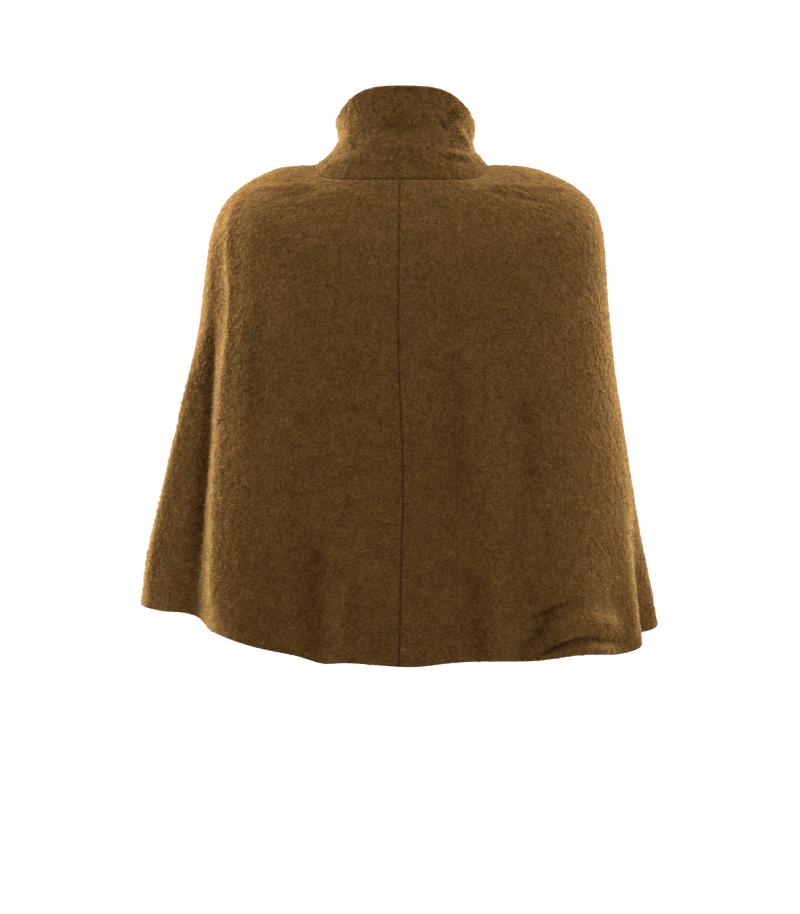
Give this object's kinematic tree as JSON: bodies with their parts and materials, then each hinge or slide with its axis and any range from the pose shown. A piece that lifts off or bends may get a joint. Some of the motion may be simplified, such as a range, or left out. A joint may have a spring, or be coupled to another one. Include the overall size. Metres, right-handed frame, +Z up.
{
  "type": "poncho cardigan",
  "caption": "Short cape-like cardigan in looped wool with a stand-up funnel collar and an open front, in the hollow form that it takes when worn.",
  "frame": {"origin": "middle of the neck, level with the tops of the shoulders that carry the cloth", "axes": "+Z up, -Y the way the wearer faces, so the centre back is at +Y, and +X the wearer's left"},
  "size_m": [0.6672, 0.366, 0.7282],
  "materials": {
    "looped_wool": "soft looped wool, matt, with a raised nap"
  },
  "bodies": {
    "root": {"back_left": "looped_wool", "back_right": "looped_wool", "front_left": "looped_wool", "front_right": "looped_wool", "collar": "looped_wool"}
  },
  "joints": []
}
